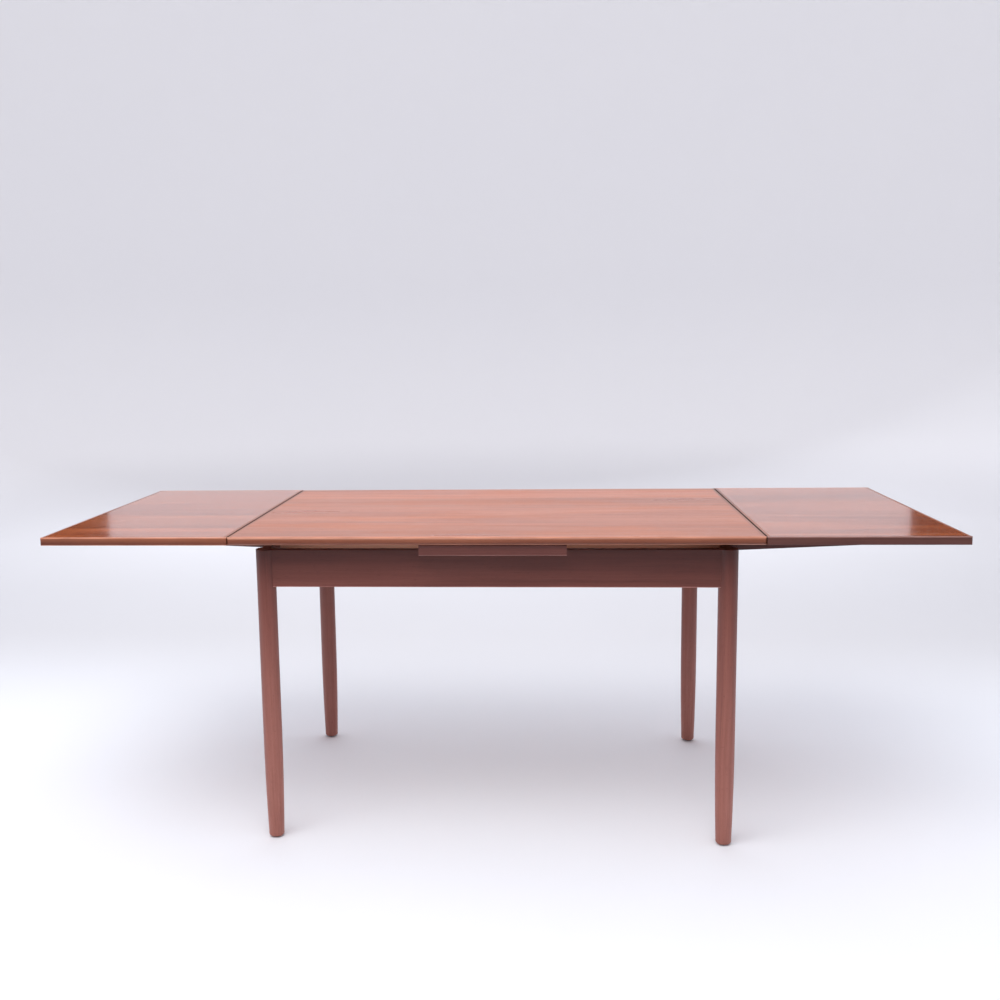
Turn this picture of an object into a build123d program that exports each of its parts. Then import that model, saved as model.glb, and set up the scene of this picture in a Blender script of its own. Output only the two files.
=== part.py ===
"""Extending dining table: a loose top over two draw leaves on a four-legged frame.

Units are millimetres. The origin is on the floor under the middle of the table,
+X runs along the table's length and +Z points up. The table is drawn with both
leaves pulled out, level with the top.
"""
from build123d import *
import os
from math import sqrt

# ---------------------------------------------------------------- driving dimensions
TABLE_HEIGHT = 735.0
TOP_LENGTH = 1200.0
TOP_WIDTH = 800.0
LEAF_LENGTH = 434.0
BOARD_THICKNESS = 18.0      # top and leaves alike
SEAM = 1.0                  # gap between the top and a drawn leaf

# edges of the boards
LIPPING = 8.0               # width of the solid edging glued round each board
TOP_ARRIS = 7.0             # rounding of the top's long edges, upper side
TOP_LOWER_ARRIS = 5.5
LEAF_ARRIS = 2.0
LEAF_LOWER_ARRIS = 1.2
END_ARRIS = 1.2             # edges that meet at a seam
TOP_CORNER = 6.0            # corners seen from above
LEAF_CORNER = 4.0
SEAM_CORNER = 0.8           # a leaf's corners beside the seam

# frame
LEG_X = 527.5               # leg centres
LEG_Y = 339.0
LEG_DIAMETER = 44.0
FOOT_DIAMETER = 36.0
TAPER_HEIGHT = 260.0        # the leg narrows below this height
FOOT_ROUND = 5.0
LEG_CHAMFER = 0.8
APRON_BOTTOM = 611.0
APRON_THICKNESS = 20.0
APRON_SETBACK = 9.0         # apron face behind the outside of the leg
HOUSING = 15.0              # apron ends stop this far from the leg's centre line
SLOT_HEIGHT = 18.5          # space between frame and top where a leaf is put away

# centre board, which stays put between the two stowed leaves
CENTRE_LENGTH = 331.0
CENTRE_WIDTH = 784.0
CENTRE_STRIP = 8.0
CENTRE_STRIP_DEPTH = 24.0
FELT = 1.0                  # pads that the top rests on

# bearers: sloping bars that carry a leaf
BEARER_WIDTH = 28.0
BEARER_DEPTH = 33.7
BEARER_INNER_END = 80.0
BEARER_OUTER_END = 1000.0
BEARER_OUTER_Y = 255.0
BEARER_INNER_Y = 215.0
STOW_DROP = 18.3            # a leaf sinks this far while it goes in
BEARER_CHAMFER = 6.0        # on the lower corner of the inner end
RUNNING_GAP = 0.3
OVERTRAVEL = 12.0           # how far a drawn leaf still goes before its stops hit

# fittings
DOWEL_RADIUS = 5.0
DOWEL_CLEARANCE = 0.05
DOWEL_CHAMFER = 1.0
DOWEL_END_GAP = 0.5         # a dowel hole is this much deeper than the dowel at each end
DOWEL_HALF = 22.5           # a dowel reaches this far on average each side of a joint
SCREW_RADIUS = 2.0
SCREW_HEAD_RADIUS = 4.0
SCREW_POINT = 4.0           # length of the tapering tip
SCREW_SLOT_WIDTH = 1.0
SCREW_SLOT_DEPTH = 1.0
POCKET_CLEARANCE = 0.5      # round a sunk screw head
BOLT_RADIUS = 4.0
PEG_RADIUS = 12.5
PEG_HOLE_RADIUS = 13.0
PEG_LENGTH = 60.0
PEG_SPIGOT_RADIUS = 7.5
PEG_SPIGOT = 10.0
PEG_CHAMFER = 3.0
PEG_Y = 120.0
GLIDE_RADIUS = 10.0
GLIDE_HEIGHT = 2.5
GLIDE_ARRIS = 1.0
GLIDE_PIN_RADIUS = 1.5
GLIDE_PIN_LENGTH = 16.0
GLIDE_PIN_HOLE = 18.0

# ---------------------------------------------------------------- derived places
HALF_TOP = TOP_LENGTH / 2
HALF_WIDTH = TOP_WIDTH / 2
BOARD_BOTTOM = TABLE_HEIGHT - BOARD_THICKNESS
FRAME_TOP = BOARD_BOTTOM - SLOT_HEIGHT
LEG_RADIUS = LEG_DIAMETER / 2
APRON_OUTER_X = LEG_X + LEG_RADIUS - APRON_SETBACK
APRON_INNER_X = APRON_OUTER_X - APRON_THICKNESS
APRON_OUTER_Y = LEG_Y + LEG_RADIUS - APRON_SETBACK
APRON_INNER_Y = APRON_OUTER_Y - APRON_THICKNESS
APRON_MIDDLE_X = (APRON_OUTER_X + APRON_INNER_X) / 2
APRON_MIDDLE_Y = (APRON_OUTER_Y + APRON_INNER_Y) / 2
LONG_APRON_END = LEG_X - HOUSING
END_APRON_END = LEG_Y - HOUSING
STROKE = LEAF_LENGTH + SEAM
SLOPE = STOW_DROP / STROKE
CENTRE_HALF = CENTRE_LENGTH / 2

LONG_DOWEL_HEIGHTS = (APRON_BOTTOM + 23, APRON_BOTTOM + 66)
END_DOWEL_HEIGHTS = (APRON_BOTTOM + 9, APRON_BOTTOM + 51)
BOLT_HEIGHT = APRON_BOTTOM + 36

CORNERS = {
    "front_left": (-1, -1),
    "front_right": (1, -1),
    "back_left": (-1, 1),
    "back_right": (1, 1),
}
SIDES = {"right": 1, "left": -1}
TRIPLE_LOW = (Align.CENTER, Align.CENTER, Align.MIN)

os.makedirs("parts", exist_ok=True)


def save(builder, label):
    """Name a finished piece and write it as its own STEP file."""
    builder.part.label = label
    export_step(builder.part, f"parts/{label}.step")


def bearer_top(x):
    """Height of a bearer's sloping upper face, x from the table's centre outwards."""
    return FRAME_TOP - RUNNING_GAP + SLOPE * (x - CENTRE_HALF)


def bearer_bottom(x):
    return bearer_top(x) - BEARER_DEPTH


def bearer_rows(side):
    """The two bearers of one leaf: the leaves are alike, turned half round."""
    return {"front": -BEARER_OUTER_Y if side > 0 else -BEARER_INNER_Y,
            "back": BEARER_INNER_Y if side > 0 else BEARER_OUTER_Y}


# ---------------------------------------------------------------- top and leaves
def long_lipping(label, x_low, x_high, side, arris, lower_arris, corner_low, corner_high):
    """Solid edging along a long edge, with its outer corners rounded in plan."""
    with BuildPart() as lipping:
        with BuildSketch(Plane.YZ.offset(x_low)) as profile:
            with Locations((side * (HALF_WIDTH - LIPPING / 2), TABLE_HEIGHT - BOARD_THICKNESS / 2)):
                Rectangle(LIPPING, BOARD_THICKNESS)
            outer = -1 if side > 0 else 0
            upper = profile.vertices().group_by(Axis.X)[outer].sort_by(Axis.Y)[-1]
            fillet(upper, arris)
            lower = profile.vertices().group_by(Axis.X)[outer].sort_by(Axis.Y)[0]
            fillet(lower, lower_arris)
        extrude(amount=x_high - x_low)
        with BuildSketch(Plane.XY.offset(BOARD_BOTTOM)) as plan:
            with Locations(((x_low + x_high) / 2, 0)):
                Rectangle(x_high - x_low, TOP_WIDTH)
            fillet(plan.vertices().group_by(Axis.X)[0], corner_low)
            fillet(plan.vertices().group_by(Axis.X)[-1], corner_high)
        extrude(amount=BOARD_THICKNESS, mode=Mode.INTERSECT)
    save(lipping, label)


def end_lipping(label, x_outer, side, arris, lower_arris):
    """Solid edging along a short edge, between the two long lippings."""
    with BuildPart() as lipping:
        with BuildSketch(Plane.XZ) as profile:
            with Locations((x_outer - side * LIPPING / 2, TABLE_HEIGHT - BOARD_THICKNESS / 2)):
                Rectangle(LIPPING, BOARD_THICKNESS)
            outer = -1 if side > 0 else 0
            upper = profile.vertices().group_by(Axis.X)[outer].sort_by(Axis.Y)[-1]
            fillet(upper, arris)
            lower = profile.vertices().group_by(Axis.X)[outer].sort_by(Axis.Y)[0]
            fillet(lower, lower_arris)
        extrude(amount=HALF_WIDTH - LIPPING, both=True)
    save(lipping, label)


def wood_screw(length):
    """A slotted countersunk screw, head face at the origin and point downwards."""
    with BuildPart(mode=Mode.PRIVATE) as screw:
        with BuildSketch(Plane.XZ):
            with BuildLine():
                Polyline((0, 0), (SCREW_HEAD_RADIUS, 0),
                         (SCREW_RADIUS, SCREW_RADIUS - SCREW_HEAD_RADIUS),
                         (SCREW_RADIUS, SCREW_POINT - length), (0, -length), close=True)
            make_face()
        revolve(axis=Axis.Z)
        Box(3 * SCREW_HEAD_RADIUS, SCREW_SLOT_WIDTH, 2 * SCREW_SLOT_DEPTH, mode=Mode.SUBTRACT)
    return screw.part


# the loose top
with BuildPart() as top_panel:
    with Locations((0, 0, TABLE_HEIGHT)):
        Box(TOP_LENGTH - 2 * LIPPING, TOP_WIDTH - 2 * LIPPING, BOARD_THICKNESS,
            align=(Align.CENTER, Align.CENTER, Align.MAX))
    with Locations((0, -PEG_Y, BOARD_BOTTOM), (0, PEG_Y, BOARD_BOTTOM)):
        Cylinder(PEG_SPIGOT_RADIUS, PEG_SPIGOT, align=TRIPLE_LOW, mode=Mode.SUBTRACT)
save(top_panel, "top_panel")

long_lipping("top_lipping_front", -HALF_TOP, HALF_TOP, -1,
             TOP_ARRIS, TOP_LOWER_ARRIS, TOP_CORNER, TOP_CORNER)
long_lipping("top_lipping_back", -HALF_TOP, HALF_TOP, 1,
             TOP_ARRIS, TOP_LOWER_ARRIS, TOP_CORNER, TOP_CORNER)
end_lipping("top_lipping_left", -HALF_TOP, -1, END_ARRIS, END_ARRIS)
end_lipping("top_lipping_right", HALF_TOP, 1, END_ARRIS, END_ARRIS)

# two pegs under the top slide in the centre board and keep the top in place
for name, row in (("front", -1), ("back", 1)):
    with BuildPart() as peg:
        with Locations((0, row * PEG_Y, BOARD_BOTTOM)):
            Cylinder(PEG_RADIUS, PEG_LENGTH, align=(Align.CENTER, Align.CENTER, Align.MAX))
            Cylinder(PEG_SPIGOT_RADIUS, PEG_SPIGOT, align=TRIPLE_LOW)
        chamfer(peg.edges().filter_by(GeomType.CIRCLE).sort_by(Axis.Z)[0], PEG_CHAMFER)
    save(peg, f"top_peg_{name}")

# a leaf, its two bearers, their stops and the screws that hold them
LEAF_SCREW_LENGTH = 32.0
LEAF_SCREW_BITE = 12.0
LEAF_SCREWS_X = (650.0, 765.0, 880.0)
STOP_LENGTH = 34.0
STOP_DEPTH = 14.0

for side_name, side in SIDES.items():
    inner_x = HALF_TOP + SEAM
    outer_x = inner_x + LEAF_LENGTH
    rows = bearer_rows(side)
    screw_places = [(side * x, y) for y in rows.values() for x in LEAF_SCREWS_X]
    screw_tip = BOARD_BOTTOM + LEAF_SCREW_BITE
    screw_head = screw_tip - LEAF_SCREW_LENGTH

    with BuildPart() as leaf_panel:
        with Locations((side * (inner_x + outer_x) / 2, 0, TABLE_HEIGHT)):
            Box(LEAF_LENGTH - 2 * LIPPING, TOP_WIDTH - 2 * LIPPING, BOARD_THICKNESS,
                align=(Align.CENTER, Align.CENTER, Align.MAX))
        with Locations(*[(x, y, BOARD_BOTTOM) for x, y in screw_places]):
            Cylinder(SCREW_RADIUS, LEAF_SCREW_BITE, align=TRIPLE_LOW, mode=Mode.SUBTRACT)
    save(leaf_panel, f"{side_name}_leaf_panel")

    x_low, x_high = sorted((side * inner_x, side * outer_x))
    corner_low, corner_high = (SEAM_CORNER, LEAF_CORNER)[::side]
    for row_name, row in (("front", -1), ("back", 1)):
        long_lipping(f"{side_name}_leaf_lipping_{row_name}", x_low, x_high, row,
                     LEAF_ARRIS, LEAF_LOWER_ARRIS, corner_low, corner_high)
    end_lipping(f"{side_name}_leaf_lipping_inner", side * inner_x, -side, END_ARRIS, END_ARRIS)
    end_lipping(f"{side_name}_leaf_lipping_outer", side * outer_x, side,
                LEAF_ARRIS, LEAF_LOWER_ARRIS)

    # the bearer's sloping face runs out where it reaches the leaf's flat underside
    flat_start = CENTRE_HALF + (BOARD_BOTTOM - FRAME_TOP + RUNNING_GAP) / SLOPE
    for row_name, y in rows.items():
        with BuildPart() as bearer:
            with BuildSketch(Plane.XZ.offset(-y)):
                with BuildLine():
                    Polyline((side * BEARER_INNER_END, bearer_top(BEARER_INNER_END)),
                             (side * flat_start, BOARD_BOTTOM),
                             (side * BEARER_OUTER_END, BOARD_BOTTOM),
                             (side * BEARER_OUTER_END, bearer_bottom(BEARER_OUTER_END)),
                             (side * BEARER_INNER_END, bearer_bottom(BEARER_INNER_END)),
                             close=True)
                make_face()
            extrude(amount=BEARER_WIDTH / 2, both=True)
            chamfer(bearer.edges().filter_by(Axis.Y).sort_by(Axis.Z)[0], BEARER_CHAMFER)
            heads = [(side * x, y, screw_head) for x in LEAF_SCREWS_X]
            with Locations(*[Plane(origin=head, z_dir=(0, 0, -1)) for head in heads]):
                CounterSinkHole(SCREW_RADIUS, SCREW_HEAD_RADIUS, depth=LEAF_SCREW_LENGTH)
            with Locations(*heads):
                Cylinder(SCREW_HEAD_RADIUS + POCKET_CLEARANCE, BEARER_DEPTH, mode=Mode.SUBTRACT,
                         align=(Align.CENTER, Align.CENTER, Align.MAX))
        save(bearer, f"{side_name}_bearer_{row_name}")

    stop_outer = APRON_INNER_X - OVERTRAVEL - RUNNING_GAP
    stop_inner = stop_outer - STOP_LENGTH
    with BuildPart() as stops:
        for y in rows.values():
            with BuildSketch(Plane.XZ.offset(-y)):
                with BuildLine():
                    Polyline((side * stop_inner, bearer_bottom(stop_inner)),
                             (side * stop_outer, bearer_bottom(stop_outer)),
                             (side * stop_outer, bearer_bottom(stop_outer) - STOP_DEPTH),
                             (side * stop_inner, bearer_bottom(stop_inner) - STOP_DEPTH),
                             close=True)
                make_face()
            extrude(amount=BEARER_WIDTH / 2, both=True)
    save(stops, f"{side_name}_bearer_stops")

    leaf_screw = wood_screw(LEAF_SCREW_LENGTH)
    with BuildPart() as bearer_screws:
        with Locations(*[Location((x, y, screw_head), (180, 0, 0)) for x, y in screw_places]):
            add(leaf_screw)
    save(bearer_screws, f"{side_name}_bearer_screws")

# ---------------------------------------------------------------- centre board
BOARD_TOP = BOARD_BOTTOM - FELT
CENTRE_STRIP_ARRIS = 1.5
CENTRE_SCREW_LENGTH = 45.0
CENTRE_SCREW_X = 120.0
CENTRE_SCREW_PLACES = [(side * CENTRE_SCREW_X, row * APRON_MIDDLE_Y)
                       for side in (-1, 1) for row in (-1, 1)]
FELT_RADIUS = 11.0
FELT_X = 140.0
FELT_Y = 300.0

with BuildPart() as centre_board:
    with Locations((0, 0, FRAME_TOP)):
        Box(CENTRE_LENGTH, CENTRE_WIDTH - 2 * CENTRE_STRIP, BOARD_TOP - FRAME_TOP, align=TRIPLE_LOW)
    with Locations((0, -PEG_Y, BOARD_TOP), (0, PEG_Y, BOARD_TOP)):
        Hole(PEG_HOLE_RADIUS)
    with Locations(*[(x, y, BOARD_TOP) for x, y in CENTRE_SCREW_PLACES]):
        CounterSinkHole(SCREW_RADIUS, SCREW_HEAD_RADIUS)
save(centre_board, "centre_board")

for name, row in (("front", -1), ("back", 1)):
    with BuildPart() as strip:
        with Locations((0, row * (CENTRE_WIDTH - CENTRE_STRIP) / 2, BOARD_TOP)):
            Box(CENTRE_LENGTH, CENTRE_STRIP, CENTRE_STRIP_DEPTH,
                align=(Align.CENTER, Align.CENTER, Align.MAX))
        outer_face = strip.faces().sort_by(Axis.Y)[-1 if row > 0 else 0]
        fillet(outer_face.edges().filter_by(Axis.X), CENTRE_STRIP_ARRIS)
    save(strip, f"centre_board_edge_{name}")

centre_screw = wood_screw(CENTRE_SCREW_LENGTH)
with BuildPart() as centre_screws:
    with Locations(*[(x, y, BOARD_TOP) for x, y in CENTRE_SCREW_PLACES]):
        add(centre_screw)
save(centre_screws, "centre_board_screws")

with BuildPart() as felt_pads:
    with Locations(*[(side * FELT_X, row * FELT_Y, BOARD_TOP) for side in (-1, 1) for row in (-1, 1)]):
        Cylinder(FELT_RADIUS, FELT, align=TRIPLE_LOW)
save(felt_pads, "felt_pads")

# a strip under the centre board runs between neighbouring bearers and guides both
GUIDE_DEPTH = 38.0
GUIDE_GAP = 0.6
GUIDE_CHAMFER = 2.0
guide_low = BEARER_INNER_Y + BEARER_WIDTH / 2 + GUIDE_GAP
guide_high = BEARER_OUTER_Y - BEARER_WIDTH / 2 - GUIDE_GAP
for name, row in (("front", -1), ("back", 1)):
    with BuildPart() as guide:
        with Locations((0, row * (guide_low + guide_high) / 2, FRAME_TOP)):
            Box(CENTRE_LENGTH, guide_high - guide_low, GUIDE_DEPTH,
                align=(Align.CENTER, Align.CENTER, Align.MAX))
        chamfer(guide.edges().filter_by(Axis.X).group_by(Axis.Z)[0], GUIDE_CHAMFER)
    save(guide, f"bearer_guide_{name}")

# ---------------------------------------------------------------- corner blocks
BLOCK_NEAR = 32.0           # where the block's two sloping faces cut the apron faces
BLOCK_FAR = 70.0
BLOCK_BOTTOM = APRON_BOTTOM + 11
BLOCK_HEIGHT = 42.0
BLOCK_SCREW_HEIGHT = BLOCK_BOTTOM + BLOCK_HEIGHT / 2
BLOCK_SCREW_ALONG = 52.0
BLOCK_SCREW_HEAD = 14.0
BLOCK_SCREW_LENGTH = 28.0
BOLT_LENGTH = 80.0
BOLT_START = -9.0           # measured from the leg's centre line, towards the block
BOLT_CHAMFER = 0.8
BOLT_HOLE_RADIUS = BOLT_RADIUS + 0.5
BLOCK_POCKET_LENGTH = 20.0  # above a sunk screw head
NUT_HALF_WIDTH = 6.5
NUT_HEIGHT = 6.5
NUT_BORE_RADIUS = BOLT_RADIUS + 0.05
WASHER_RADIUS = 10.0
WASHER_BORE_RADIUS = BOLT_RADIUS + 0.2
WASHER_HEIGHT = 1.6
# distance along the bolt from the leg's centre line to the block's inner face
BLOCK_FACE = (BLOCK_FAR + (LEG_X - APRON_INNER_X) + (LEG_Y - APRON_INNER_Y)) / sqrt(2)


def in_corner(signs, along_x, along_y):
    """A point measured from the inside corner of two aprons towards the middle."""
    return (signs[0] * (APRON_INNER_X - along_x), signs[1] * (APRON_INNER_Y - along_y))


def bolt_plane(signs, distance):
    """The plane across a corner bolt at a distance from the leg's centre line."""
    step = distance / sqrt(2)
    return Plane(origin=(signs[0] * (LEG_X - step), signs[1] * (LEG_Y - step), BOLT_HEIGHT),
                 z_dir=(-signs[0], -signs[1], 0))


def block_screw_planes(signs):
    """Where the two screws of a corner block sit; each points along -Z of its plane."""
    x, y = in_corner(signs, BLOCK_SCREW_ALONG, BLOCK_SCREW_HEAD)
    into_long = Plane(origin=(x, y, BLOCK_SCREW_HEIGHT), z_dir=(0, -signs[1], 0))
    x, y = in_corner(signs, BLOCK_SCREW_HEAD, BLOCK_SCREW_ALONG)
    into_end = Plane(origin=(x, y, BLOCK_SCREW_HEIGHT), z_dir=(-signs[0], 0, 0))
    return into_long, into_end


for corner, signs in CORNERS.items():
    with BuildPart() as corner_block:
        with BuildSketch(Plane.XY.offset(BLOCK_BOTTOM)):
            with BuildLine():
                Polyline(in_corner(signs, BLOCK_NEAR, 0), in_corner(signs, BLOCK_FAR, 0),
                         in_corner(signs, 0, BLOCK_FAR), in_corner(signs, 0, BLOCK_NEAR),
                         close=True)
            make_face()
        extrude(amount=BLOCK_HEIGHT)
        with Locations(bolt_plane(signs, BLOCK_FACE)):
            Hole(BOLT_HOLE_RADIUS, depth=BLOCK_FACE)
        with Locations(*block_screw_planes(signs)):
            CounterSinkHole(SCREW_RADIUS, SCREW_HEAD_RADIUS, depth=BLOCK_SCREW_LENGTH)
            Cylinder(SCREW_HEAD_RADIUS + POCKET_CLEARANCE, BLOCK_POCKET_LENGTH, align=TRIPLE_LOW,
                     mode=Mode.SUBTRACT)
    save(corner_block, f"corner_block_{corner}")

with BuildPart() as hanger_bolts:
    with Locations(*[bolt_plane(signs, BOLT_START) for signs in CORNERS.values()]):
        Cylinder(BOLT_RADIUS, BOLT_LENGTH, align=TRIPLE_LOW)
    chamfer(hanger_bolts.edges().filter_by(GeomType.CIRCLE), BOLT_CHAMFER)
save(hanger_bolts, "hanger_bolts")

with BuildPart() as bolt_washers:
    for signs in CORNERS.values():
        with BuildSketch(bolt_plane(signs, BLOCK_FACE)):
            Circle(WASHER_RADIUS)
            Circle(WASHER_BORE_RADIUS, mode=Mode.SUBTRACT)
        extrude(amount=WASHER_HEIGHT)
save(bolt_washers, "bolt_washers")

with BuildPart() as bolt_nuts:
    for signs in CORNERS.values():
        with BuildSketch(bolt_plane(signs, BLOCK_FACE + WASHER_HEIGHT)):
            RegularPolygon(NUT_HALF_WIDTH, 6, major_radius=False)
            Circle(NUT_BORE_RADIUS, mode=Mode.SUBTRACT)
        extrude(amount=NUT_HEIGHT)
save(bolt_nuts, "bolt_nuts")

block_screw = wood_screw(BLOCK_SCREW_LENGTH)
block_screw_places = [plane for signs in CORNERS.values() for plane in block_screw_planes(signs)]
with BuildPart() as block_screws:
    with Locations(*block_screw_places):
        add(block_screw)
save(block_screws, "corner_block_screws")

# ---------------------------------------------------------------- dowels
def long_dowel_planes(sign_x, sign_y):
    """Across each dowel between a long apron and a leg, at its inner end."""
    return [Plane(origin=(sign_x * (LONG_APRON_END - DOWEL_HALF), sign_y * APRON_MIDDLE_Y, z),
                  z_dir=(sign_x, 0, 0)) for z in LONG_DOWEL_HEIGHTS]


def end_dowel_planes(sign_x, sign_y):
    """The same between an end apron and a leg."""
    return [Plane(origin=(sign_x * APRON_MIDDLE_X, sign_y * (END_APRON_END - DOWEL_HALF), z),
                  z_dir=(0, sign_y, 0)) for z in END_DOWEL_HEIGHTS]


for label, planes_at in (("long_apron_dowels", long_dowel_planes),
                         ("end_apron_dowels", end_dowel_planes)):
    with BuildPart() as dowels:
        for signs in CORNERS.values():
            with Locations(*planes_at(*signs)):
                Cylinder(DOWEL_RADIUS, 2 * DOWEL_HALF, align=TRIPLE_LOW)
        chamfer(dowels.edges().filter_by(GeomType.CIRCLE), DOWEL_CHAMFER)
    save(dowels, label)

# ---------------------------------------------------------------- aprons
APRON_HEIGHT = FRAME_TOP - APRON_BOTTOM
HOUSING_HEIGHT = APRON_HEIGHT + 1.0   # the cut runs out through the leg's top
APRON_ARRIS = 1.5


def drill_apron(dowel_planes, block_planes):
    """Dowel holes in the ends and pilot holes for the corner block screws."""
    with Locations(*dowel_planes):
        Cylinder(DOWEL_RADIUS + DOWEL_CLEARANCE, 2 * (DOWEL_HALF + DOWEL_END_GAP), align=TRIPLE_LOW,
                 mode=Mode.SUBTRACT)
    with Locations(*block_planes):
        Hole(SCREW_RADIUS, depth=BLOCK_SCREW_LENGTH)


for name, row in (("front", -1), ("back", 1)):
    with BuildPart() as long_apron:
        with Locations((0, row * APRON_MIDDLE_Y, APRON_BOTTOM)):
            Box(2 * LONG_APRON_END, APRON_THICKNESS, APRON_HEIGHT, align=TRIPLE_LOW)
        fillet(long_apron.edges().filter_by(Axis.X), APRON_ARRIS)
        drill_apron(long_dowel_planes(-1, row) + long_dowel_planes(1, row),
                    [block_screw_planes((side, row))[0] for side in (-1, 1)])
        with Locations(*[(x, y, BOARD_TOP) for x, y in CENTRE_SCREW_PLACES if y * row > 0]):
            Hole(SCREW_RADIUS, depth=CENTRE_SCREW_LENGTH)
    save(long_apron, f"{name}_apron")

NOTCH_SIDE_GAP = 0.5
NOTCH_PAST = 5.0            # the cut runs past both faces of the apron
for side_name, side in SIDES.items():
    with BuildPart() as end_apron:
        with Locations((side * APRON_MIDDLE_X, 0, APRON_BOTTOM)):
            Box(APRON_THICKNESS, 2 * END_APRON_END, APRON_HEIGHT, align=TRIPLE_LOW)
        fillet(end_apron.edges().filter_by(Axis.Y), APRON_ARRIS)
        # open notches that the bearers run in
        notch_in = APRON_INNER_X - NOTCH_PAST
        notch_out = APRON_OUTER_X + NOTCH_PAST
        for y in bearer_rows(side).values():
            with BuildSketch(Plane.XZ.offset(-y)):
                with BuildLine():
                    Polyline((side * notch_in, bearer_bottom(notch_in) - RUNNING_GAP),
                             (side * notch_out, bearer_bottom(notch_out) - RUNNING_GAP),
                             (side * notch_out, BOARD_BOTTOM),
                             (side * notch_in, BOARD_BOTTOM), close=True)
                make_face()
            extrude(amount=BEARER_WIDTH / 2 + NOTCH_SIDE_GAP, both=True, mode=Mode.SUBTRACT)
        drill_apron(end_dowel_planes(side, -1) + end_dowel_planes(side, 1),
                    [block_screw_planes((side, row))[1] for row in (-1, 1)])
    save(end_apron, f"{side_name}_apron")

# ---------------------------------------------------------------- legs and feet
for corner, (sign_x, sign_y) in CORNERS.items():
    centre = (sign_x * LEG_X, sign_y * LEG_Y)
    with BuildPart() as leg:
        with BuildSketch(Plane(origin=(*centre, 0), x_dir=(1, 0, 0), z_dir=(0, -1, 0))):
            with BuildLine():
                Line((0, GLIDE_HEIGHT), (FOOT_DIAMETER / 2 - FOOT_ROUND, GLIDE_HEIGHT))
                RadiusArc((FOOT_DIAMETER / 2 - FOOT_ROUND, GLIDE_HEIGHT),
                          (FOOT_DIAMETER / 2, GLIDE_HEIGHT + FOOT_ROUND), -FOOT_ROUND)
                TangentArc((LEG_RADIUS, TAPER_HEIGHT),
                           (FOOT_DIAMETER / 2, GLIDE_HEIGHT + FOOT_ROUND), tangent=(0, -1))
                Polyline((LEG_RADIUS, TAPER_HEIGHT), (LEG_RADIUS, FRAME_TOP - LEG_CHAMFER),
                         (LEG_RADIUS - LEG_CHAMFER, FRAME_TOP), (0, FRAME_TOP),
                         (0, GLIDE_HEIGHT))
            make_face()
        revolve(axis=Axis(origin=(*centre, 0), direction=(0, 0, 1)))
        # housings that take the ends of the two aprons
        with Locations((sign_x * (LONG_APRON_END - LEG_RADIUS / 2), sign_y * APRON_MIDDLE_Y,
                        APRON_BOTTOM)):
            Box(LEG_RADIUS, APRON_THICKNESS, HOUSING_HEIGHT, align=TRIPLE_LOW,
                mode=Mode.SUBTRACT)
        with Locations((sign_x * APRON_MIDDLE_X, sign_y * (END_APRON_END - LEG_RADIUS / 2),
                        APRON_BOTTOM)):
            Box(APRON_THICKNESS, LEG_RADIUS, HOUSING_HEIGHT, align=TRIPLE_LOW,
                mode=Mode.SUBTRACT)
        with Locations(*long_dowel_planes(sign_x, sign_y), *end_dowel_planes(sign_x, sign_y)):
            Cylinder(DOWEL_RADIUS + DOWEL_CLEARANCE, 2 * DOWEL_HALF + DOWEL_END_GAP,
                     align=TRIPLE_LOW, mode=Mode.SUBTRACT)
        with Locations(bolt_plane((sign_x, sign_y), BOLT_START)):
            Cylinder(BOLT_RADIUS, BOLT_LENGTH, align=TRIPLE_LOW, mode=Mode.SUBTRACT)
        with Locations((*centre, 0)):
            Cylinder(GLIDE_PIN_RADIUS, GLIDE_PIN_HOLE, align=TRIPLE_LOW, mode=Mode.SUBTRACT)
    save(leg, f"leg_{corner}")

with BuildPart() as foot_glides:
    with Locations(*[(x * LEG_X, y * LEG_Y) for x, y in CORNERS.values()]):
        Cylinder(GLIDE_RADIUS, GLIDE_HEIGHT, align=TRIPLE_LOW)
        Cylinder(GLIDE_PIN_RADIUS, GLIDE_PIN_LENGTH, align=TRIPLE_LOW)
    fillet(foot_glides.edges().filter_by(GeomType.CIRCLE).group_by(Axis.Z)[0], GLIDE_ARRIS)
save(foot_glides, "foot_glides")
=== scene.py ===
"""Looks of the extending teak dining table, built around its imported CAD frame."""

import re
from math import cos, pi, radians, sin

import bmesh
import bpy
from mathutils import Matrix, Vector


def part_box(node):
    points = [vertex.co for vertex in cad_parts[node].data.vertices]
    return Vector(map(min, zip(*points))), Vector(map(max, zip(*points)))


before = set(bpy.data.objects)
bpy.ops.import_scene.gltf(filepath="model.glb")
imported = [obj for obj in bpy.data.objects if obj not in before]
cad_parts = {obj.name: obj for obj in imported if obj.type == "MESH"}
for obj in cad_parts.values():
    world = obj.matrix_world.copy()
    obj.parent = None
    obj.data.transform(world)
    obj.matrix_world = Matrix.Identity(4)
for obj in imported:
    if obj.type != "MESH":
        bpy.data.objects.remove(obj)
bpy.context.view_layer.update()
scene = bpy.context.scene
scene.view_settings.view_transform = "Standard"

# ------------------------------------------------------------------ camera
CAMERA_PLACE = (0.1292, -2.8169, 1.1686)
CAMERA_YAW = -4.283          # degrees, turned towards -X
CAMERA_PITCH = 8.126         # degrees, looking down
CAMERA_ROLL = -0.843
CAMERA_LENS = 39.91          # mm
SENSOR_WIDTH = 36.0          # mm
CAMERA_SHIFT = (0.0320, -0.0016)
CAMERA_REACH = 100.0         # metres


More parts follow.
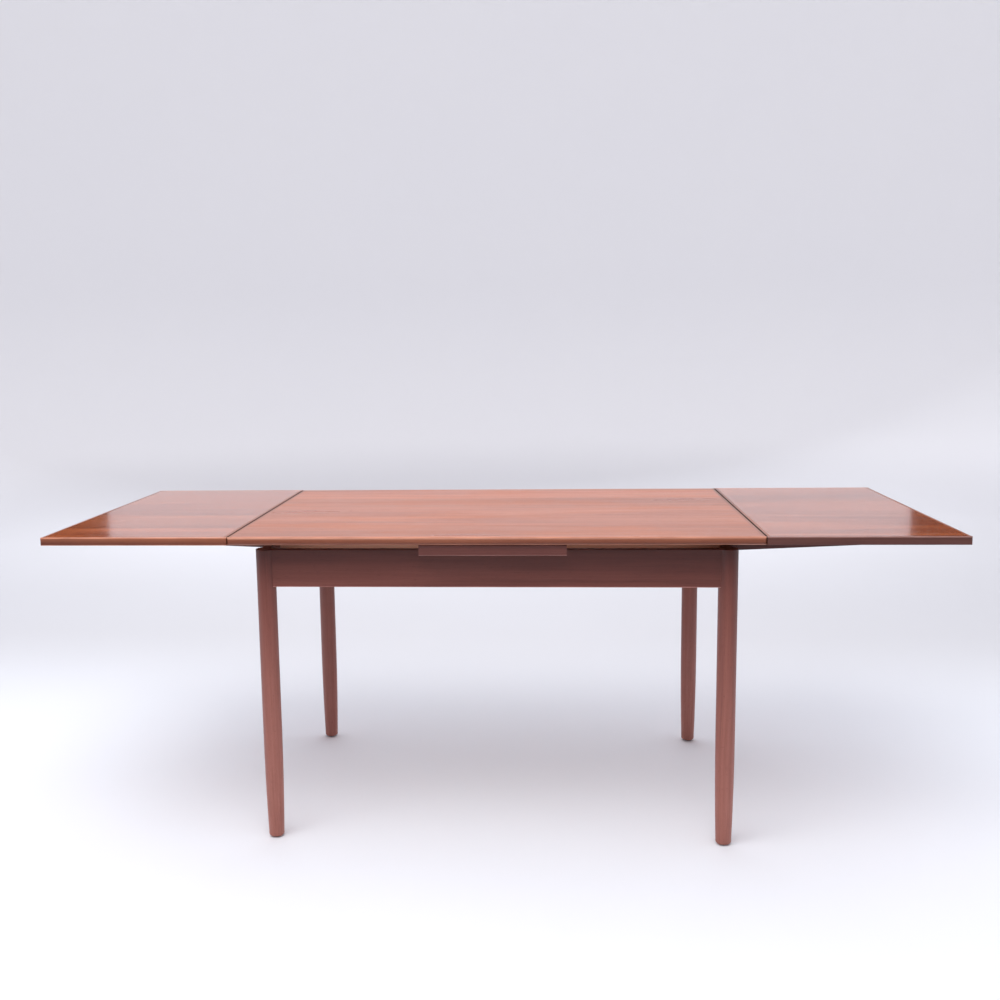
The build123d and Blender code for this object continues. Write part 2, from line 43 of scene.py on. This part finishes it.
def make_camera():
    """A camera at standing height in front of the table, a little right of its middle."""
    data = bpy.data.cameras.new("camera")
    data.sensor_width = SENSOR_WIDTH
    data.lens = CAMERA_LENS
    data.shift_x, data.shift_y = CAMERA_SHIFT
    data.clip_end = CAMERA_REACH
    camera = bpy.data.objects.new("camera", data)
    scene.collection.objects.link(camera)
    yaw, pitch, roll = (radians(a) for a in (CAMERA_YAW, CAMERA_PITCH, CAMERA_ROLL))
    forward = Vector((sin(yaw) * cos(pitch), cos(yaw) * cos(pitch), -sin(pitch)))
    level = Vector((cos(yaw), -sin(yaw), 0.0))
    upright = level.cross(forward)
    right = cos(roll) * level + sin(roll) * upright
    up = -sin(roll) * level + cos(roll) * upright
    turn = Matrix((right, up, -forward)).transposed().to_4x4()
    camera.matrix_world = Matrix.Translation(CAMERA_PLACE) @ turn
    scene.camera = camera


# ------------------------------------------------------------------ node helpers
class Graph:
    """Short ways to add shader nodes to one material."""

    MIX_COLOURS = (6, 7)         # the colour sockets of a mix node, which share their names
    MIX_RESULT = 2

    def __init__(self, name):
        self.material = bpy.data.materials.new(name)
        self.material.use_nodes = True
        self.tree = self.material.node_tree
        self.tree.nodes.clear()
        self.output = self.tree.nodes.new("ShaderNodeOutputMaterial")

    def put(self, socket, value):
        if isinstance(value, bpy.types.NodeSocket):
            self.tree.links.new(value, socket)
        elif value is not None:
            socket.default_value = value

    def node(self, kind, inputs=None, **settings):
        made = self.tree.nodes.new(kind)
        for key, value in settings.items():
            setattr(made, key, value)
        for key, value in (inputs or {}).items():
            self.put(made.inputs[key], value)
        return made

    def math(self, operation, a, b=None, c=None):
        made = self.node("ShaderNodeMath", operation=operation)
        for index, value in enumerate((a, b, c)):
            self.put(made.inputs[index], value)
        return made.outputs[0]

    def noise(self, vector, scale, detail=2.0, roughness=0.5, distortion=0.0):
        made = self.node("ShaderNodeTexNoise", {"Vector": vector, "Scale": scale, "Detail": detail,
                                                "Roughness": roughness, "Distortion": distortion})
        return made.outputs["Fac"]

    def combine(self, x, y, z):
        return self.node("ShaderNodeCombineXYZ", {"X": x, "Y": y, "Z": z}).outputs[0]

    def stretch(self, vector, scale):
        return self.node("ShaderNodeVectorMath", {0: vector, 1: scale},
                         operation="MULTIPLY").outputs[0]

    def ramp(self, factor, stops):
        made = self.node("ShaderNodeValToRGB", {"Fac": factor})
        elements = made.color_ramp.elements
        while len(elements) < len(stops):
            elements.new(0.5)
        for element, (place, colour) in zip(elements, stops):
            element.position = place
            element.color = (*colour, 1.0)
        return made.outputs["Color"]

    def remap(self, value, low, high, to_low=0.0, to_high=1.0, smooth=False):
        made = self.node("ShaderNodeMapRange", {"Value": value, "From Min": low, "From Max": high,
                                                "To Min": to_low, "To Max": to_high},
                         interpolation_type="SMOOTHSTEP" if smooth else "LINEAR")
        return made.outputs["Result"]

    def mix(self, factor, a, b, blend="MIX"):
        made = self.node("ShaderNodeMix", data_type="RGBA", blend_type=blend)
        self.put(made.inputs["Factor"], factor)
        for index, value in zip(self.MIX_COLOURS, (a, b)):
            self.put(made.inputs[index], (*value, 1.0) if isinstance(value, tuple) else value)
        return made.outputs[self.MIX_RESULT]

    def bump(self, height, strength, distance):
        made = self.node("ShaderNodeBump", {"Height": height, "Strength": strength,
                                            "Distance": distance})
        return made.outputs["Normal"]

    def finish(self, **inputs):
        shader = self.node("ShaderNodeBsdfPrincipled")
        for key, value in inputs.items():
            self.put(shader.inputs[key.replace("_", " ")], value)
        self.tree.links.new(shader.outputs["BSDF"], self.output.inputs["Surface"])
        return self.material


# ------------------------------------------------------------------ wood
GRAIN_ORDERS = {"x": "XYZ", "y": "YXZ", "z": "ZXY"}     # along the grain first

# features per metre along and across the grain
RINGS = (0.55, 9.0, 9.0)
BROAD = (0.7, 16.0, 16.0)
FINE = (2.2, 150.0, 150.0)
HAIR = (9.0, 700.0, 700.0)
PORES = (55.0, 1900.0, 1900.0)
MINERAL = (0.8, 60.0, 60.0)
RUBBED = (2.4, 9.0, 9.0)
# breaks up the painted highlight on the arrises
ARRIS_HIGHLIGHT_BREAKUP = (14.0, 60.0, 60.0)
SPECKS = (120.0, 160.0, 160.0)
SCRATCHES = (5.0, 260.0, 90.0)
SCRATCH_TURN = 0.6                       # radians from the grain

# where in a noise each mark starts and is full
PORE_LEVELS = (0.60, 0.72)
MINERAL_LEVELS = (0.63, 0.74)
RUBBED_LEVELS = (0.42, 0.70)
SCRATCH_LEVELS = (0.70, 0.76)
SPECK_LEVELS = (0.77, 0.82)
TONE_LEVELS = (0.33, 0.53, 0.76)         # dark, middle and light wood

# how much each layer adds to the tone
RING_SHARE, BROAD_SHARE, FINE_SHARE, HAIR_SHARE = 0.16, 0.30, 0.34, 0.26
RING_COUNT = 9.0
WANDER_SCALE, WANDER_SHARE = (0.9, 2.2, 2.2), 0.030

# veneer leaves: shift of the figure from leaf to leaf, tint, and the joint between them
LEAF_STEP, LEAF_START = 0.37, 10.0       # metres, keeps the leaf count above zero
LEAF_SHIFT_ALONG, LEAF_SHIFT_ACROSS = 3.0, 0.6
LEAF_TINTS = (0.86, 1.12)
JOINT_WIDTH = 0.006                      # of a leaf
JOINT_STRENGTH = 0.35

PATINA_AND_SHADE = (0.10, 0.60, 1.42, 0.70)        # low and high in metres, shade at each: paler low down from scuffs and painted floor light, darker high up from age and painted shade
SHADE_UNDER_BOARDS = (0.60, 0.70, 1.0, 0.44)     # painted shade right under the boards
HEIGHT_TONE_GREEN, HEIGHT_TONE_BLUE = 1.4, 1.5     # powers: the wood goes redder as patina and painted shade darken it
EDGE_SHADE = (0.003, 0.014, 0.52, 1.0)  # from the underside of a board up: painted shade, darker low on the edge
ARRIS_CORE, ARRIS_HIGHLIGHT = 0.0008, 0.0026  # metres from the arris: the pale painted highlight is full within the first and gone beyond the second
SEAM_SHADE = 0.0032                       # metres from the seam over which its painted shade fades
SEAM_FROM_PANEL = 0.0085                 # the seam lies this far past the top's panel
WOOD_IOR = 1.5
COAT_ROUGHNESS = 0.08
BUMP_STRENGTH, BUMP_DEPTH = 0.22, 0.0004

TEAK_TOP = dict(dark=(0.290, 0.084, 0.042), middle=(0.420, 0.136, 0.073),
                light=(0.55, 0.205, 0.118))
TEAK_LEAF = dict(dark=(0.150, 0.026, 0.008), middle=(0.370, 0.086, 0.024),
                 light=(0.60, 0.175, 0.060))
TEAK_EDGE = dict(dark=(0.170, 0.046, 0.022), middle=(0.275, 0.084, 0.040),
                 light=(0.37, 0.130, 0.066))
TEAK_FRAME = dict(dark=(0.160, 0.043, 0.030), middle=(0.250, 0.075, 0.053),
                  light=(0.33, 0.115, 0.086))
TEAK_LEAF_EDGE_RIGHT = dict(dark=(0.075, 0.022, 0.016), middle=(0.120, 0.040, 0.030),
                            light=(0.17, 0.064, 0.048))
# darker than the frame wood: painted shade under the top's overhang
TEAK_STRIP = dict(dark=(0.090, 0.024, 0.018), middle=(0.138, 0.038, 0.029),
                  light=(0.19, 0.062, 0.048))
RAW_DARK, RAW_LIGHT = (0.46, 0.25, 0.17), (0.64, 0.40, 0.29)
BEECH = dict(dark=(0.42, 0.25, 0.13), middle=(0.55, 0.36, 0.20), light=(0.66, 0.46, 0.28))


def scaled(colour, factor):
    return tuple(channel * factor for channel in colour)


def wood(name, grain, dark, middle, light, roughness, seed=0.0, sheet=None, wear=0.0,
         coat=0.0, pore_depth=0.5, streak=1.0, shaded_seam_at=None,
         arris_highlights=(), tone_by_height=(), bare_inside=None):
    """Oiled or lacquered open-grained wood, lengths in metres.

    grain is the axis that the fibres follow. sheet is the width of the veneer leaves laid
    side by side, or None for solid wood. wear, from 0 to 1, dulls and marks the finish.
    shaded_seam_at is the distance from the middle along X of a seam darkened with painted
    shade, arris_highlights are heights of arrises given a pale painted highlight,
    tone_by_height lists how the shade changes with height as patina and painted shade, and
    bare_inside is an axis number and how far along it from the middle the wood is unfinished.
    """
    g = Graph(name)
    place = g.node("ShaderNodeTexCoord").outputs["Object"]
    split = g.node("ShaderNodeSeparateXYZ", {0: place})
    along, across, through = (split.outputs[axis] for axis in GRAIN_ORDERS[grain])
    along = g.math("ADD", along, seed)

    # slow wander of the fibres
    slow = g.combine(*(g.math("MULTIPLY", value, scale)
                       for value, scale in zip((along, across, through), WANDER_SCALE)))
    wander = g.math("SUBTRACT", g.noise(slow, 1.3, 2.0), 0.5)
    across = g.math("MULTIPLY_ADD", wander, WANDER_SHARE, across)

    if sheet is not None:
        straight = split.outputs[GRAIN_ORDERS[grain][1]]
        start = seed * LEAF_STEP + LEAF_START
        leaf = g.math("DIVIDE", g.math("ADD", straight, start), sheet)
        index = g.math("FLOOR", leaf)
        chance = g.node("ShaderNodeTexWhiteNoise", {"W": index},
                        noise_dimensions="1D").outputs["Value"]
        along = g.math("MULTIPLY_ADD", chance, LEAF_SHIFT_ALONG, along)
        across = g.math("MULTIPLY_ADD", chance, LEAF_SHIFT_ACROSS, across)
        joint = g.remap(g.math("PINGPONG", leaf, 0.5), 0.0, JOINT_WIDTH, 1.0, 0.0)

    # figure, from broad bands down to pores
    fibre = g.combine(along, across, through)
    rings = g.noise(g.stretch(fibre, RINGS), 1.0, 3.0, 0.55, 0.35)
    figure = g.math("PINGPONG", g.math("MULTIPLY", rings, RING_COUNT), 1.0)
    broad = g.noise(g.stretch(fibre, BROAD), 1.0, 3.0, 0.6)
    fine = g.noise(g.stretch(fibre, FINE), 1.0, 4.0, 0.65)
    hair = g.noise(g.stretch(fibre, HAIR), 1.0, 3.0, 0.6)
    pores = g.remap(g.noise(g.stretch(fibre, PORES), 1.0, 2.0, 0.5), *PORE_LEVELS)

    tone = g.math("MULTIPLY", figure, RING_SHARE)
    tone = g.math("MULTIPLY_ADD", broad, BROAD_SHARE, tone)
    tone = g.math("MULTIPLY_ADD", fine, FINE_SHARE * streak, tone)
    tone = g.math("MULTIPLY_ADD", hair, HAIR_SHARE * streak, tone)
    colour = g.ramp(tone, list(zip(TONE_LEVELS, (dark, middle, light))))

    # a few dark mineral streaks that run with the grain
    mineral = g.remap(g.noise(g.stretch(fibre, MINERAL), 1.0, 2.0, 0.5), *MINERAL_LEVELS)
    colour = g.mix(g.math("MULTIPLY", mineral, 0.45), colour, dark)
    colour = g.mix(g.math("MULTIPLY", pores, pore_depth), colour, scaled(dark, 0.45))
    if sheet is not None:
        tint = g.remap(chance, 0.0, 1.0, *LEAF_TINTS)
        colour = g.mix(1.0, colour, g.combine(tint, tint, tint), "MULTIPLY")
        colour = g.mix(g.math("MULTIPLY", joint, JOINT_STRENGTH), colour, scaled(dark, 0.5))

    rough = g.math("MULTIPLY_ADD", broad, 0.10, roughness - 0.05)
    rough = g.math("MULTIPLY_ADD", pores, 0.12, rough)
    if wear > 0.0:
        patchy = g.noise(g.stretch(fibre, RUBBED), 1.0, 4.0, 0.62)
        patch = g.remap(patchy, *RUBBED_LEVELS, smooth=True)
        colour = g.mix(g.math("MULTIPLY", patch, 0.30 * wear), colour, light)
        rough = g.math("MULTIPLY_ADD", patch, 0.12 * wear, rough)
        turned = g.node("ShaderNodeMapping", {"Vector": place, "Scale": SCRATCHES,
                                              "Rotation": (0.0, 0.0, SCRATCH_TURN)}).outputs[0]
        scratches = g.remap(g.noise(turned, 1.0, 1.0, 0.4), *SCRATCH_LEVELS)
        specks = g.remap(g.noise(g.stretch(place, SPECKS), 1.0, 0.0), *SPECK_LEVELS)
        colour = g.mix(g.math("MULTIPLY", scratches, 0.22 * wear), colour, light)
        colour = g.mix(g.math("MULTIPLY", specks, 0.5 * wear), colour, dark)
        rough = g.math("MULTIPLY_ADD", scratches, 0.15 * wear, rough)

    # tone by height from patina and painted shade, with painted floor light low down; unfinished
    # inside; painted highlights on arrises; painted shade in a seam
    for band in tone_by_height:
        height_tone = g.remap(split.outputs[2], *band)
        tint = g.combine(height_tone, g.math("POWER", height_tone, HEIGHT_TONE_GREEN),
                         g.math("POWER", height_tone, HEIGHT_TONE_BLUE))
        colour = g.mix(1.0, colour, tint, "MULTIPLY")
    if bare_inside is not None:
        axis, reach = bare_inside
        depth = g.math("ABSOLUTE", split.outputs[axis])
        raw = g.remap(depth, reach + 0.0004, reach + 0.0008, 1.0, 0.0)
        bare = g.ramp(tone, [(TONE_LEVELS[0], RAW_DARK), (TONE_LEVELS[2], RAW_LIGHT)])
        colour = g.mix(raw, colour, bare)
    # pale painted highlights along the arrises, broken up by noise
    for at in arris_highlights:
        off = g.math("ABSOLUTE", g.math("SUBTRACT", split.outputs[2], at))
        patchy = g.noise(g.stretch(fibre, ARRIS_HIGHLIGHT_BREAKUP), 1.0, 3.0)
        near = g.math("MULTIPLY", g.remap(off, ARRIS_CORE, ARRIS_HIGHLIGHT, 1.0, 0.0, smooth=True),
                      g.remap(patchy, 0.30, 0.60, 0.35, 0.80))
        colour = g.mix(near, colour, tuple(min(1.0, c * 1.5 + 0.05) for c in light))
    # painted shade in the gap at the seam, made rough there so it shows no reflection
    if shaded_seam_at is not None:
        side = g.math("ABSOLUTE", split.outputs[0])
        off = g.math("ABSOLUTE", g.math("SUBTRACT", side, shaded_seam_at))
        near = g.remap(off, SEAM_SHADE * 0.5, SEAM_SHADE, 0.92, 0.0, smooth=True)
        colour = g.mix(near, colour, scaled(dark, 0.12))
        rough = g.math("MAXIMUM", rough, near)

    height = g.math("MULTIPLY_ADD", pores, -0.7, g.math("MULTIPLY", hair, 0.5))
    height = g.math("MULTIPLY_ADD", fine, 0.5, height)
    return g.finish(Base_Color=colour, Roughness=rough, IOR=WOOD_IOR, Coat_Weight=coat,
                    Coat_Roughness=COAT_ROUGHNESS,
                    Normal=g.bump(height, BUMP_STRENGTH, BUMP_DEPTH))


# ------------------------------------------------------------------ metal and felt
ZINC = (0.62, 0.61, 0.58)
NICKEL = (0.56, 0.54, 0.50)
RUST = (0.16, 0.10, 0.06)
GREEN_WOOL = (0.050, 0.105, 0.060)


def steel(name, colour, roughness):
    """Zinc or nickel plate, spotted and dulled with age."""
    g = Graph(name)
    place = g.node("ShaderNodeTexCoord").outputs["Object"]
    spots = g.noise(place, 900.0, 3.0, 0.6)
    cloud = g.noise(place, 140.0, 3.0, 0.55)
    shade = g.mix(g.remap(cloud, 0.35, 0.70), colour, scaled(colour, 0.55))
    shade = g.mix(g.remap(spots, 0.62, 0.72, 0.0, 0.7), shade, RUST)
    rough = g.remap(cloud, 0.3, 0.7, roughness - 0.08, roughness + 0.15)
    return g.finish(Base_Color=shade, Roughness=rough, Metallic=1.0,
                    Normal=g.bump(spots, 0.25, 0.0001))


def felt(name, colour):
    """Pressed wool with a short nap."""
    g = Graph(name)
    place = g.node("ShaderNodeTexCoord").outputs["Object"]
    nap = g.noise(place, 2600.0, 4.0, 0.7)
    cloud = g.noise(place, 220.0, 2.0, 0.5)
    shade = g.mix(g.remap(nap, 0.3, 0.7), scaled(colour, 0.6), scaled(colour, 1.5))
    shade = g.mix(g.remap(cloud, 0.3, 0.7, 0.0, 0.4), shade, scaled(colour, 0.8))
    return g.finish(Base_Color=shade, Roughness=0.95, Sheen_Weight=0.4, Sheen_Roughness=0.5,
                    Normal=g.bump(nap, 0.7, 0.0006))


# ------------------------------------------------------------------ dressing the CAD nodes
def dress(name, material):
    """Give a CAD node one material on every face."""
    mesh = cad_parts[name].data
    mesh.materials.clear()
    mesh.materials.append(material)


def make_materials():
    """One material for each way that a piece is cut and finished."""
    board_low, board_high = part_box("top_lipping_front")
    board_under, board_top = board_low[2], board_high[2]
    strip_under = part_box("centre_board_edge_front")[0][2]
    apron_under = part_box("front_apron")[0][2]
    apron_inside = -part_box("front_apron")[1][1]
    end_apron_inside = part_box("right_apron")[0][0]
    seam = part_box("top_panel")[1][0] + SEAM_FROM_PANEL
    # painted shade on the board edges, darker towards their underside
    edge_low, edge_high, *edge_shades = EDGE_SHADE
    edge_shade_band = (board_under + edge_low, board_under + edge_high, *edge_shades)
    # patina with painted shade and painted floor light on the frame, darkest right under the
    # boards
    frame_tone_bands = (PATINA_AND_SHADE, SHADE_UNDER_BOARDS)
    polish = dict(roughness=0.11, sheet=0.148, wear=0.2, coat=0.35)
    oiled = dict(roughness=0.38, wear=0.6)
    plain = dict(roughness=0.55, seed=7.0, pore_depth=0.25, streak=0.6)
    return {
        "top": wood("teak_top", "x", roughness=0.285, sheet=0.148, wear=1.0, seed=0.4,
                    **TEAK_TOP),
        "left_leaf": wood("teak_left_leaf", "x", seed=5.3, **polish, **TEAK_LEAF),
        "right_leaf": wood("teak_right_leaf", "x", seed=9.1, **polish, **TEAK_LEAF),
        "edge_x": wood("teak_edge_x", "x", roughness=0.36, seed=2.0, wear=0.5,
                       tone_by_height=(edge_shade_band,),
                       arris_highlights=(board_under + 0.0002, board_top - 0.0008), **TEAK_EDGE),
        "edge_right": wood("teak_edge_right_leaf", "x", roughness=0.36, seed=2.7, wear=0.5,
                           arris_highlights=(board_top - 0.0004,), **TEAK_LEAF_EDGE_RIGHT),
        "edge_y": wood("teak_edge_y", "y", roughness=0.30, seed=2.0, wear=0.4, shaded_seam_at=seam,
                       **TEAK_EDGE),
        "end_apron": wood("teak_frame_y", "y", seed=3.0, tone_by_height=frame_tone_bands,
                          arris_highlights=(apron_under,), **oiled, **TEAK_FRAME),
        "leg": wood("teak_frame_z", "z", seed=3.0, tone_by_height=frame_tone_bands, **oiled, **TEAK_FRAME),
        "apron": wood("teak_apron", "x", seed=3.0, tone_by_height=frame_tone_bands,
                      arris_highlights=(apron_under,), bare_inside=(1, apron_inside), **oiled,
                      **TEAK_FRAME),
        "bearer": wood("teak_bearer", "x", roughness=0.42, seed=3.9, wear=0.4,
                       tone_by_height=frame_tone_bands, bare_inside=(0, end_apron_inside), **TEAK_FRAME),
        "strip": wood("teak_strip", "x", seed=3.4, arris_highlights=(strip_under,), **oiled,
                      **TEAK_STRIP),
        "beech_x": wood("beech_x", "x", **plain, **BEECH),
        "beech_y": wood("beech_y", "y", **plain, **BEECH),
        "beech_z": wood("beech_z", "z", **plain, **BEECH),
        "zinc": steel("zinc", ZINC, 0.34),
        "nickel": steel("nickel", NICKEL, 0.28),
        "felt": felt("green_felt", GREEN_WOOL),
    }


# node name pattern, material
RULES = (
    (r"top_panel", "top"),
    (r"left_leaf_panel", "left_leaf"),
    (r"right_leaf_panel", "right_leaf"),
    (r"right_leaf_lipping_front", "edge_right"),
    (r".*lipping.*_(front|back)", "edge_x"),
    (r".*lipping.*", "edge_y"),
    (r"centre_board_edge.*", "strip"),
    (r"leg_.*", "leg"),
    (r"(front|back)_apron", "apron"),
    (r".*_bearer_(front|back).*", "bearer"),
    (r"(left|right)_apron", "end_apron"),
    (r".*screws|hanger_bolts.*|bolt_.*", "zinc"),
    (r"foot_glides", "nickel"),
    (r"felt_pads", "felt"),
    (r"top_peg.*", "beech_z"),
    (r"centre_board|end_apron_dowels", "beech_y"),
    (r".*", "beech_x"),
)


def dress_all():
    """Give every CAD node the material of the first rule that its name matches."""
    materials = make_materials()
    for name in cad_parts:
        chosen = next(key for pattern, key in RULES if re.fullmatch(pattern, name))
        dress(name, materials[chosen])


# ------------------------------------------------------------------ studio
FLOOR_RADIUS = 5.2
SWEEP_RADIUS = 1.6
WALL_TOP = 5.0
FLOOR_STEPS, CURVE_STEPS, TURNS = 10, 12, 96

PAPER_WHITE = (0.790, 0.816, 0.868)      # under the table
PAPER_FAR = (0.585, 0.585, 0.613)        # just behind it, where the glow is strongest
PAPER_BACK = (0.665, 0.663, 0.690)       # the rest of the floor
PAPER_WALL = (0.780, 0.777, 0.800)
PAPER_GREY = (0.27, 0.27, 0.285)         # in front of what the camera sees
PAPER_CLOUD = (0.70, 0.71, 0.78)
FAR_FROM, FAR_TO = 0.1, 1.6              # metres along Y
BACK_FROM, BACK_TO = 1.8, 4.4
GREY_FROM, GREY_TO = -1.7, -3.6
WALL_FROM, WALL_TO = 0.02, 0.40          # metres up the paper

FLAG_Y = 4.0
FLAG_TOP = 4.5
FLAG_SIDES = {"flag_left": (-2.69, -6.6), "flag_right": (2.31, 6.6)}     # near and far X
FLAG_DARK, FLAG_LIGHT = (0.016, 0.016, 0.018), (0.032, 0.032, 0.036)

AIR_COLOUR, AIR_STRENGTH = (0.97, 0.96, 1.0, 1.0), 1.21
SOFTBOX = dict(place=(-0.8, -2.2, 3.9), target=(0.1, -0.5, 0.0), size=(3.8, 2.6), power=104.0,
               colour=(1.0, 0.985, 0.955))
WINDOW_GLOW = dict(place=(-0.6, 4.6, 2.2), target=(0.1, 0.0, 0.1), size=(6.0, 2.2), power=78.0,
                   colour=(0.90, 0.95, 1.0))


def make_backdrop():
    """A round paper sweep: floor, a curve all the way round, and a wall."""
    profile = [(FLOOR_RADIUS * step / FLOOR_STEPS, 0.0) for step in range(1, FLOOR_STEPS + 1)]
    for step in range(1, CURVE_STEPS + 1):
        angle = pi / 2 * step / CURVE_STEPS
        profile.append((FLOOR_RADIUS + SWEEP_RADIUS * sin(angle),
                        SWEEP_RADIUS * (1 - cos(angle))))
    profile.append((FLOOR_RADIUS + SWEEP_RADIUS, WALL_TOP))
    mesh = bmesh.new()
    directions = [(cos(2 * pi * t / TURNS), sin(2 * pi * t / TURNS)) for t in range(TURNS)]
    rings = [[mesh.verts.new((radius * x, radius * y, height)) for x, y in directions]
             for radius, height in profile]
    hub = mesh.verts.new((0.0, 0.0, 0.0))
    for t in range(TURNS):
        after = (t + 1) % TURNS
        mesh.faces.new((hub, rings[0][t], rings[0][after]))
        for inner, outer in zip(rings, rings[1:]):
            mesh.faces.new((inner[t], outer[t], outer[after], inner[after]))
    data = bpy.data.meshes.new("sweep")
    mesh.to_mesh(data)
    mesh.free()
    data.shade_smooth()
    sweep = bpy.data.objects.new("sweep", data)
    scene.collection.objects.link(sweep)
    g = Graph("paper")
    place = g.node("ShaderNodeTexCoord").outputs["Object"]
    split = g.node("ShaderNodeSeparateXYZ", {0: place})
    shade = g.mix(g.remap(split.outputs[1], FAR_FROM, FAR_TO, smooth=True), PAPER_WHITE, PAPER_FAR)
    shade = g.mix(g.remap(split.outputs[1], BACK_FROM, BACK_TO, smooth=True), shade, PAPER_BACK)
    shade = g.mix(g.remap(split.outputs[2], WALL_FROM, WALL_TO, smooth=True), shade, PAPER_WALL)
    shade = g.mix(g.remap(split.outputs[1], GREY_TO, GREY_FROM, smooth=True), PAPER_GREY, shade)
    cloud = g.noise(place, 0.9, 3.0, 0.5)
    data.materials.append(g.finish(
        Base_Color=g.mix(g.remap(cloud, 0.3, 0.7, 0.0, 0.06), shade, PAPER_CLOUD),
        Roughness=0.85, Normal=g.bump(g.noise(place, 60.0, 3.0), 0.04, 0.002)))


def make_flags():
    """Two dark cards beyond the ends of the backdrop, seen only in the polish of the wood."""
    g = Graph("black_card")
    fade = g.noise(g.node("ShaderNodeTexCoord").outputs["Object"], 2.0)
    card = g.finish(Base_Color=g.ramp(fade, [(0.3, FLAG_DARK), (0.7, FLAG_LIGHT)]),
                    Roughness=0.9)
    for name, (near, far) in FLAG_SIDES.items():
        mesh = bpy.data.meshes.new(name)
        mesh.from_pydata([(near, FLAG_Y, 0.0), (far, FLAG_Y, 0.0), (far, FLAG_Y, FLAG_TOP),
                          (near, FLAG_Y, FLAG_TOP)], [], [(0, 1, 2, 3)])
        mesh.materials.append(card)
        flag = bpy.data.objects.new(name, mesh)
        flag.visible_camera = False
        flag.visible_diffuse = False
        flag.visible_shadow = False
        scene.collection.objects.link(flag)


def area_light(name, place, target, size, power, colour):
    data = bpy.data.lights.new(name, "AREA")
    data.shape = "RECTANGLE"
    data.size, data.size_y = size
    data.energy = power
    data.color = colour
    light = bpy.data.objects.new(name, data)
    light.location = place
    light.rotation_euler = (Vector(target) - Vector(place)).to_track_quat("-Z", "Y").to_euler()
    scene.collection.objects.link(light)
    return light


def light_studio():
    """Even air light, a softbox above the camera and a low glow behind the table."""
    world = bpy.data.worlds.new("studio_air")
    world.use_nodes = True
    background = world.node_tree.nodes["Background"]
    background.inputs["Color"].default_value = AIR_COLOUR
    background.inputs["Strength"].default_value = AIR_STRENGTH
    scene.world = world
    area_light("softbox", **SOFTBOX)
    glow = area_light("window_glow", **WINDOW_GLOW)
    glow.visible_glossy = False
    glow.visible_camera = False


make_camera()
make_backdrop()
make_flags()
light_studio()
dress_all()
